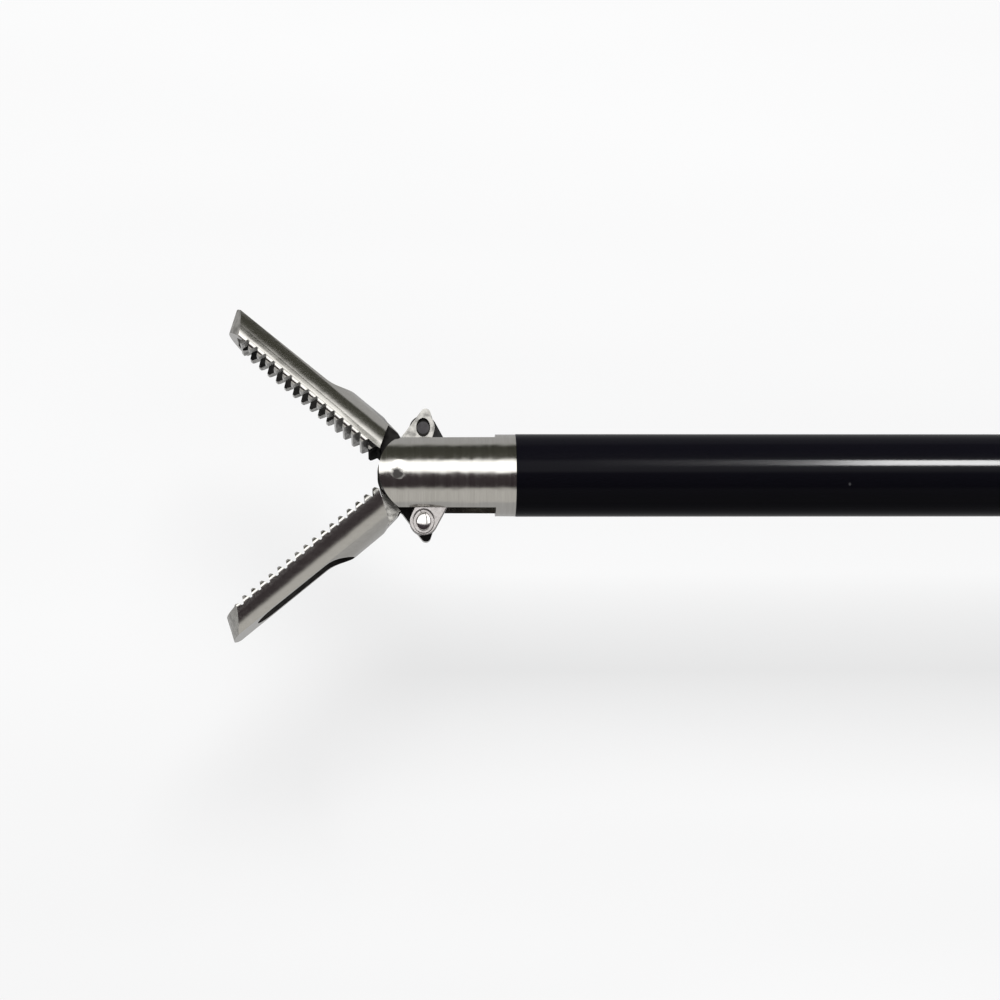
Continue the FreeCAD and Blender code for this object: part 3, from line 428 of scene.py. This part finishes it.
def copiedMesh(node, name, flatAngle=1.0):
    # a copy of a CAD node's mesh: corners merged and coplanar triangles joined into whole faces
    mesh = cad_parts[node].data.copy()
    mesh.name = name
    work = bmesh.new()
    work.from_mesh(mesh)
    bmesh.ops.remove_doubles(work, verts=work.verts, dist=0.0004 * mm)
    bmesh.ops.dissolve_limit(work, angle_limit=radians(flatAngle), verts=work.verts, edges=work.edges,
                             delimit={"NORMAL"})
    work.to_mesh(mesh)
    work.free()
    return mesh


def dressed(node, name, finish, body, bevel):
    # the dressed piece of a CAD node: its merged copy with a finish and softened edges
    return finishPiece(name, copiedMesh(node, name), finishes[finish], body, [node], bevel)


head = {
    "jaw_upper": ("upperJaw", "jawUpper", "upper_jaw", "jaw_steel", 0.035 * mm),
    "jaw_lower": ("lowerJaw", "jawLower", "lower_jaw", "jaw_steel", 0.035 * mm),
    "link_upper": ("upperLink", "linkInPaintedShade", "upper_link", "link_steel", 0.05 * mm),
    "link_lower": ("lowerLink", "linkPaintedLit", "lower_link", "link_steel", 0.05 * mm),
    "link_rivet_upper": ("upperRivet", "rivetInPaintedShade", "lower_jaw", "rivet_steel", 0.02 * mm),
    "link_rivet_lower": ("lowerRivet", "rivet", "upper_jaw", "rivet_steel", 0.02 * mm),
    "clevis": ("clevisFork", "clevis", "shaft", "clevis_steel", 0.0),
    "jaw_pivot_pin": ("pivotPin", "pin", "shaft", "rivet_steel", 0.0),
}
for node, (name, finish, body, slotName, bevel) in head.items():
    dressed(node, name, finish, body, bevel)


def readAll(items, field, width=3, kind=float):
    # one field of all items as an array, a row for each item where the field is a vector
    found = np.empty(len(items) * width, kind)
    items.foreach_get(field, found)
    return found.reshape(-1, width) if width > 1 else found


def roundNormals(piece, values):
    # corners of faces on a round bar along X get the normal (0, y, z) / r; the others keep their own
    mesh = piece.data
    vertex = readAll(mesh.loops, "vertex_index", 1, int)
    start = readAll(mesh.polygons, "loop_start", 1, int)
    total = readAll(mesh.polygons, "loop_total", 1, int)
    facing = readAll(mesh.polygons, "normal")
    own = readAll(mesh.corner_normals, "vector")
    radial = readAll(mesh.vertices, "co")[vertex] * np.array([0.0, 1.0, 1.0])
    radius = np.linalg.norm(radial, axis=1)
    radial = radial / np.maximum(radius, 1e-9)[:, None]
    inner = np.minimum.reduceat(radius, start)
    middle = np.add.reduceat(radial, start, axis=0) / total[:, None]
    outward = (middle * facing).sum(axis=1)
    onBar = np.repeat((inner > values["radius"]) & (outward > values["facing"]), total)
    mesh.normals_split_custom_set(np.where(onBar[:, None], radial, own))


def openGuide(piece, values):
    # (y, z) times a factor for the rod's guide in the spigot, so that its facets clear the tab's corners
    spots = readAll(piece.data.vertices, "co")
    inGuide = (spots[:, 0] > values["start"]) & (np.hypot(spots[:, 1], spots[:, 2]) < values["within"])
    spots[inGuide, 1:] *= values["opened"]
    piece.data.vertices.foreach_set("co", spots.ravel())
    piece.data.update()


barrel = {"radius": 2.3 * mm, "facing": 0.9}
guide = {"start": 0.1 * mm, "within": 1.1 * mm, "opened": 1.02}
openGuide(bpy.data.objects["clevisFork"], guide)
roundNormals(bpy.data.objects["clevisFork"], barrel)
print("head pieces made", len(head))

grip = {
    "rotation_knob": ("fingerWheel", "knob", "shaft", "knob_plastic", 0.35 * mm),
    "handle_body": ("handleShell", "handle", "handle", "handle_plastic", 0.35 * mm),
    "thumb_lever": ("thumbLever", "handle", "lever", "handle_plastic", 0.35 * mm),
    "post_insulator": ("postCollar", "handle", "handle", "handle_plastic", 0.1 * mm),
    "connector_post": ("leadPost", "post", "handle", "post_plating", 0.1 * mm),
    "lever_pivot_screw": ("pivotScrew", "screw", "handle", "screw_steel", 0.12 * mm),
    "lever_pivot_nut": ("pivotNut", "screw", "handle", "screw_steel", 0.12 * mm),
    "knob_set_screw": ("setScrew", "screw", "shaft", "screw_steel", 0.06 * mm),
}
for node, (name, finish, body, slotName, bevel) in grip.items():
    dressed(node, name, finish, body, bevel)
print("handle pieces made", len(grip))

sleeve = {"radius": 2.5 * mm, "wall": 0.3 * mm, "edge": 0.06 * mm, "sides": 160, "steps": 60, "round": 6}


def sleeveMesh(values):
    # a profile (x, r) turned about X, y = r cos u and z = r sin u: bore, front face, rounded front edge,
    # outside and back face
    low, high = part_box("insulation_sleeve")
    start, end = low[0], high[0]
    outer, inner, edge = values["radius"], values["radius"] - values["wall"], values["edge"]
    quarter = np.linspace(0, pi / 2, values["round"])
    frontX = start + edge - edge * np.cos(quarter)
    frontR = outer - edge + edge * np.sin(quarter)
    along = np.linspace(start + edge, end, values["steps"])[1:]
    x = np.concatenate([[end, start], frontX, along, [end]])
    r = np.concatenate([[inner, inner], frontR, np.full(along.size, outer), [inner]])
    turn = np.linspace(0, 2 * pi, values["sides"], endpoint=False)
    points = np.empty((x.size, turn.size, 3))
    points[..., 0] = x[:, None]
    points[..., 1] = r[:, None] * np.cos(turn)
    points[..., 2] = r[:, None] * np.sin(turn)
    return gridMesh("shaftSleeve", points)


sleevePiece = finishPiece("shaftSleeve", sleeveMesh(sleeve), finishes["insulation"], "shaft",
                          ["insulation_sleeve"])


def paintShadeOnFaces(piece, rule):
    # painted shade: shade = rule(centre, normal) for every face, kept in the "shade" attribute
    mesh = piece.data
    shade = rule(readAll(mesh.polygons, "center"), readAll(mesh.polygons, "normal"))
    layer = mesh.attributes.new("shade", "FLOAT", "FACE")
    layer.data.foreach_set("value", shade.astype(np.float32))


def jawRule(side):
    # turns faces into the jaw's own frame: along it from the pivot, away from the closing plane, and up
    along = np.array([-np.cos(jawAngle), side * np.sin(jawAngle), 0.0])
    away = np.array([np.sin(jawAngle), side * np.cos(jawAngle), 0.0])

    def rule(centres, normals):
        centres = centres - np.array([jawShadeZones["pivot"], 0.0, 0.0])
        place = np.stack([centres @ along, centres @ away, centres[:, 2]], axis=1) / mm
        facing = np.stack([normals @ along, normals @ away, normals[:, 2]], axis=1)
        return jawShade(place, facing, side > 0)
    return rule


earShadeZone = {"ends": -5.0 * mm, "facing": -0.2, "dark": 0.93}


def earShade(centres, normals):
    # painted shade: the rounded end of each clevis ear is painted dark, as it sees only the jaws
    m = earShadeZone
    return np.where((centres[:, 0] < m["ends"]) & (normals[:, 0] < m["facing"]), m["dark"], 0.0)


# places in mm in the jaw's own frame, then how far a face is turned, then the shares of painted shade
jawShadeZones = {"pivot": -7.0 * mm, "leafStart": -1.2, "bodyStart": 2.6, "windowStart": 5.1, "windowEnd": 12.3,
            "nose": 12.6, "windowHalf": 1.3, "webHalf": 1.25, "webBack": 1.6, "crest": -0.12, "root": 0.3,
            "dishLevel": -0.08,
            "level": 0.9, "across": 0.5, "slanted": 0.3,
            "hollow": 0.985, "upperNose": 0.62, "lowerNose": 0.2, "upperFlat": 0.985, "lowerFlat": 0.45,
            "frontFlank": 0.62, "backFlank": 0.4, "innerFront": 0.9, "innerBack": 0.55}


def jawShade(place, facing, upper):
    # painted shade: window walls, the slanted base, the neck's sides and the upper jaw's flat leaves are
    # painted dark; the flanks of the upper jaw's teeth are half dark, more so near the pivot; the nose and
    # the lower jaw's leaf are painted grey, with a dark dish round its rivet; all of it stands for shade
    # and dark reflections
    m = jawShadeZones
    s, n, z = place.T
    ahead, back, up = facing.T
    behind = s < m["bodyStart"]
    inWindow = (s > m["windowStart"]) & (s < m["windowEnd"]) & (np.abs(z) < m["windowHalf"])
    walls = inWindow & (np.abs(back) < m["across"])
    flat = behind & (up > m["level"])
    inWeb = (s > m["leafStart"]) & (np.abs(z) < m["webHalf"]) & (n < m["webBack"])
    web = behind & inWeb & (up < m["level"])
    base = behind & (s > 0) & (ahead < -m["slanted"])
    nose = (s > m["nose"]) & (ahead > m["across"])
    flanks = (n < m["root"]) & (n > m["crest"]) & (np.abs(ahead) > m["slanted"]) & (s < m["nose"])
    shade = np.zeros(len(s))
    if upper:
        shade[flanks] = np.where(ahead[flanks] > 0, m["frontFlank"], m["backFlank"])
        inner = flanks & (s < m["windowStart"])
        shade[inner] = np.where(ahead[inner] > 0, m["innerFront"], m["innerBack"])
    shade[nose] = m["upperNose"] if upper else m["lowerNose"]
    shade[flat] = m["upperFlat"] if upper else m["lowerFlat"]
    shade[flat & (s < 0) & (z < m["dishLevel"])] = m["hollow"]
    shade[walls | web | base] = m["hollow"]
    return shade


shadeRules = {"upperJaw": jawRule(1.0), "lowerJaw": jawRule(-1.0), "clevisFork": earShade}
for pieceName, rule in shadeRules.items():
    paintShadeOnFaces(bpy.data.objects[pieceName], rule)
print("jaws and clevis shaded")

plainNodes = {"inner_tube": "tube", "shaft_hub": "hub", "seal_retainer": "hub", "pull_rod": "tube",
              "rod_ball": "tube", "rod_pin": "rivet", "friction_o_ring": "rubber", "rod_seal": "rubber",
              "hub_retaining_ring": "screw", "contact_strip": "brass"}
for node, finish in plainNodes.items():
    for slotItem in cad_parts[node].material_slots:
        slotItem.material = finishes[finish]
print("inner nodes painted", len(plainNodes))

floor = {"half": 3.0, "below": 0.02 * mm, "colour": (0.72, 0.72, 0.72), "mirrored": 0.52, "share": 0.8,
         "near": 0.04, "far": 0.13, "paintedFolds": (12, 60, 1), "even": 0.5,
         "low": (0.30, (0.875, 0.875, 0.877)), "high": (0.68, (0.915, 0.916, 0.918))}


def floorMaterial(values):
    # pale matt floor; the camera sees a share of it as its own plain tone, so that only a soft shadow
    # is left; faint painted shade of cloth folds near the head fades out to one even tone; metal mirrors it
    # as a plain grey
    material = bpy.data.materials.new("paleFloor")
    material.use_nodes = True
    tree = material.node_tree
    tree.nodes.clear()
    link = tree.links.new
    matt = addNode(tree, "ShaderNodeBsdfDiffuse", (0, 0))
    matt.inputs["Color"].default_value = (*values["colour"], 1)
    glow = addNode(tree, "ShaderNodeEmission", (0, -200))
    place = addNode(tree, "ShaderNodeTexCoord", (-900, -200))
    paintedFolds = addNode(tree, "ShaderNodeMapping", (-800, -200), in_Scale=values["paintedFolds"])
    clouds = addNode(tree, "ShaderNodeTexNoise", (-600, -200), in_Scale=1.0, in_Detail=2.0)
    tones = ramp(tree, [values["low"], values["high"]], (-350, -200))
    grey = addNode(tree, "ShaderNodeEmission", (0, -400))
    grey.inputs["Color"].default_value = (values["mirrored"],) * 3 + (1,)
    second = addNode(tree, "ShaderNodeMixShader", (400, -100))
    path = addNode(tree, "ShaderNodeLightPath", (-450, 300))
    share = addNode(tree, "ShaderNodeMath", (-200, 300), operation="MULTIPLY")
    share.inputs[1].default_value = values["share"]
    mix = addNode(tree, "ShaderNodeMixShader", (300, 0))
    leave = addNode(tree, "ShaderNodeOutputMaterial", (500, 0))
    link(place.outputs["Object"], paintedFolds.inputs["Vector"])
    link(paintedFolds.outputs["Vector"], clouds.inputs["Vector"])
    fromHead = addNode(tree, "ShaderNodeVectorMath", (-800, -600), operation="LENGTH")
    plain = addNode(tree, "ShaderNodeMapRange", (-600, -600), in_From_Min=values["near"],
                    in_From_Max=values["far"])
    fade = addNode(tree, "ShaderNodeMix", (-450, -400), data_type="FLOAT")
    fade.inputs[3].default_value = values["even"]
    link(place.outputs["Object"], fromHead.inputs[0])
    link(fromHead.outputs["Value"], plain.inputs["Value"])
    link(plain.outputs["Result"], fade.inputs[0])
    link(clouds.outputs["Fac"], fade.inputs[2])
    link(fade.outputs[0], tones.inputs["Fac"])
    link(tones.outputs["Color"], glow.inputs["Color"])
    link(path.outputs["Is Camera Ray"], share.inputs[0])
    link(share.outputs[0], mix.inputs["Fac"])
    link(matt.outputs["BSDF"], mix.inputs[1])
    link(glow.outputs["Emission"], mix.inputs[2])
    link(path.outputs["Is Glossy Ray"], second.inputs["Fac"])
    link(mix.outputs["Shader"], second.inputs[1])
    link(grey.outputs["Emission"], second.inputs[2])
    link(second.outputs["Shader"], leave.inputs["Surface"])
    return material


half = floor["half"]
level = cadLow[2] - floor["below"]
corners = [(-half, -half, level), (half, -half, level), (half, half, level), (-half, half, level)]
floorMesh = bpy.data.meshes.new("paleFloor")
floorMesh.from_pydata(corners, [], [(0, 1, 2, 3)])
floorMesh.materials.append(floorMaterial(floor))
floorPiece = bpy.data.objects.new("paleFloor", floorMesh)
bpy.context.scene.collection.objects.link(floorPiece)

# what metal sees round the shaft: angle in degrees from straight up, towards +Y, and the grey found there
surround = {
    "bands": [(-180, (0.62, 0.61, 0.59)), (-112, (0.68, 0.67, 0.645)), (-49, (0.69, 0.68, 0.655)),
              (-41.5, (0.036, 0.027, 0.03)), (-3, (0.068, 0.057, 0.062)), (3.5, (2.3, 2.3, 2.28)),
              (28.5, (2.3, 2.3, 2.28)), (38, (0.08, 0.08, 0.064)), (79, (0.062, 0.062, 0.05)),
              (89, (0.5, 0.5, 0.48)), (180, (0.62, 0.61, 0.59))],
    "spread": 0.86, "gap": [(0.22, (1, 1, 1)), (0.30, (0.12, 0.12, 0.11)), (0.40, (0.12, 0.12, 0.11)),
                            (0.46, (1, 1, 1))],
    "diffuse": 0.52, "seen": (0.93, 0.93, 0.935),
}


def worldLight(values):
    # a ramp over the angle atan2(y, z') for glossy rays, z' = z + spread x where x and y are positive,
    # darkened by a gap over x / z where y is positive, and plain greys for all other rays
    world = bpy.data.worlds.new("studioRoom")
    bpy.context.scene.world = world
    world.use_nodes = True
    tree = world.node_tree
    tree.nodes.clear()
    link = tree.links.new
    place = addNode(tree, "ShaderNodeTexCoord", (-1400, 0))
    parts = addNode(tree, "ShaderNodeSeparateXYZ", (-1200, 0))
    angle = addNode(tree, "ShaderNodeMath", (-1000, 0), operation="ARCTAN2")
    span = addNode(tree, "ShaderNodeMapRange", (-800, 0), in_From_Min=-pi, in_From_Max=pi)
    top = max(max(colour) for _, colour in values["bands"])
    stops = [((at + 180) / 360, tuple(c / top for c in colour)) for at, colour in values["bands"]]
    bands = ramp(tree, stops, (-600, 0))
    path = addNode(tree, "ShaderNodeLightPath", (-600, 400))
    glossy = addNode(tree, "ShaderNodeBackground", (-200, 0), in_Strength=top)
    plain = addNode(tree, "ShaderNodeBackground", (-200, -200), in_Color=(1, 1, 1, 1),
                    in_Strength=values["diffuse"])
    seen = addNode(tree, "ShaderNodeBackground", (-200, -400), in_Color=(*values["seen"], 1),
                   in_Strength=1.0)
    first = addNode(tree, "ShaderNodeMixShader", (50, 0))
    second = addNode(tree, "ShaderNodeMixShader", (300, 0))
    leave = addNode(tree, "ShaderNodeOutputWorld", (500, 0))
    link(place.outputs["Generated"], parts.inputs["Vector"])
    link(parts.outputs["Y"], angle.inputs[0])
    ahead = addNode(tree, "ShaderNodeMath", (-1200, -200), operation="MAXIMUM")
    upward = addNode(tree, "ShaderNodeMath", (-1200, -400), operation="GREATER_THAN")
    share = addNode(tree, "ShaderNodeMath", (-1100, -300), operation="MULTIPLY")
    raised = addNode(tree, "ShaderNodeMath", (-1050, -100), operation="MULTIPLY_ADD")
    ahead.inputs[1].default_value = 0.0
    upward.inputs[1].default_value = 0.0
    raised.inputs[1].default_value = values["spread"]
    link(parts.outputs["X"], ahead.inputs[0])
    link(parts.outputs["Y"], upward.inputs[0])
    link(ahead.outputs[0], share.inputs[0])
    link(upward.outputs[0], share.inputs[1])
    link(share.outputs[0], raised.inputs[0])
    link(parts.outputs["Z"], raised.inputs[2])
    link(raised.outputs[0], angle.inputs[1])
    link(angle.outputs[0], span.inputs["Value"])
    link(span.outputs["Result"], bands.inputs["Fac"])
    slant = addNode(tree, "ShaderNodeMath", (-1000, 300), operation="DIVIDE")
    gap = ramp(tree, values["gap"], (-800, 300))
    cut = addNode(tree, "ShaderNodeMix", (-350, 200), data_type="RGBA", blend_type="MULTIPLY")
    link(parts.outputs["X"], slant.inputs[0])
    link(parts.outputs["Z"], slant.inputs[1])
    link(slant.outputs[0], gap.inputs["Fac"])
    link(upward.outputs[0], cut.inputs[0])
    link(bands.outputs["Color"], cut.inputs[6])
    link(gap.outputs["Color"], cut.inputs[7])
    link(cut.outputs[2], glossy.inputs["Color"])
    link(path.outputs["Is Glossy Ray"], first.inputs["Fac"])
    link(plain.outputs["Background"], first.inputs[1])
    link(glossy.outputs["Background"], first.inputs[2])
    link(path.outputs["Is Camera Ray"], second.inputs["Fac"])
    link(first.outputs["Shader"], second.inputs[1])
    link(seen.outputs["Background"], second.inputs[2])
    link(second.outputs["Shader"], leave.inputs["Surface"])


worldLight(surround)

# the panel lights all that is matt and casts the shadow; the strip is only mirrored in the black sleeve
lamps = {
    "panel": {"place": (0.02, 0.46, 0.47), "size": (0.5, 0.22), "power": 7.5,
              "aim": (0.02, 0.0, 0.0)},
    "strip": {"place": (0.263, 0.263, 0.539), "size": (0.30, 0.15), "power": 34.0,
              "aim": (0.263, 0.0, 0.0)},
}


def areaLamp(name, values, glossy, diffuse):
    # a rectangle that faces its aim: turned about X by atan2(-y, z), then about Y by atan2(x, hypot(y, z))
    light = bpy.data.lights.new(name, "AREA")
    light.shape = "RECTANGLE"
    light.size, light.size_y = values["size"]
    light.energy = values["power"]
    lamp = bpy.data.objects.new(name, light)
    bpy.context.scene.collection.objects.link(lamp)
    lamp.location = values["place"]
    away = np.subtract(values["place"], values["aim"])
    lamp.rotation_euler = (atan2(-away[1], away[2]), atan2(away[0], np.hypot(away[1], away[2])), 0)
    lamp.visible_camera = False
    lamp.visible_glossy = glossy
    lamp.visible_diffuse = diffuse
    return lamp


areaLamp("softPanel", lamps["panel"], glossy=False, diffuse=True)
stripLamp = areaLamp("narrowStrip", lamps["strip"], glossy=True, diffuse=False)
sleeveOnly = bpy.data.collections.new("stripReceivers")
sleeveOnly.objects.link(sleevePiece)
stripLamp.light_linking.receiver_collection = sleeveOnly
print("floor, world and lamps made")

camera = {"aim": (-0.91 * mm, -1.50 * mm, 0.0), "distance": 180 * mm, "pitch": 8.7, "yaw": 2.2,
          "roll": -0.03, "lens": 107.4, "sensor": 36.0, "near": 0.005, "far": 10.0}


def placeCamera(values):
    # the camera looks at a point from straight above, leaned by pitch towards -Y and by yaw towards -X
    data = bpy.data.cameras.new("photoCamera")
    data.sensor_width = values["sensor"]
    data.lens = values["lens"]
    data.clip_start = values["near"]
    data.clip_end = values["far"]
    view = bpy.data.objects.new("photoCamera", data)
    bpy.context.scene.collection.objects.link(view)
    pitch, yaw, roll = (radians(values[key]) for key in ("pitch", "yaw", "roll"))
    view.rotation_mode = "ZYX"
    view.rotation_euler = (pitch, -yaw, roll)
    axis = view.rotation_euler.to_matrix() @ Vector((0, 0, 1))
    view.location = [values["aim"][k] + values["distance"] * axis[k] for k in range(3)]
    bpy.context.scene.camera = view


placeCamera(camera)
bpy.context.scene.view_settings.view_transform = "Standard"
